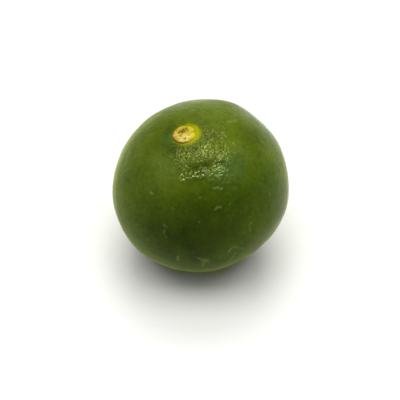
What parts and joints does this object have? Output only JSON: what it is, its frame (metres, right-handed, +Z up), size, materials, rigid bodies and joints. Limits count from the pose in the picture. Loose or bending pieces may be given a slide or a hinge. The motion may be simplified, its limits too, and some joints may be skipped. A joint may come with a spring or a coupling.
{
  "type": "lime",
  "caption": "Whole green lime with a dry stem button in a shallow dimple, a low nipple underneath and a small flat spot to rest on.",
  "frame": {"origin": "on the floor, in the small flat spot that the fruit rests on, straight below the middle of the fruit", "axes": "+Z up; the stem end is uppermost and leans about 13 degrees from +Z, towards -X and -Y; -Y is the front"},
  "size_m": [0.0496, 0.0498, 0.0455],
  "materials": {
    "rind": "glossy waxed green rind covered in fine oil glands",
    "dry_wood": "dry matt tan wood with a raised lip and a brown pitted hollow"
  },
  "bodies": {
    "root": {"fruit": "rind", "stem_button": "dry_wood"}
  },
  "joints": []
}
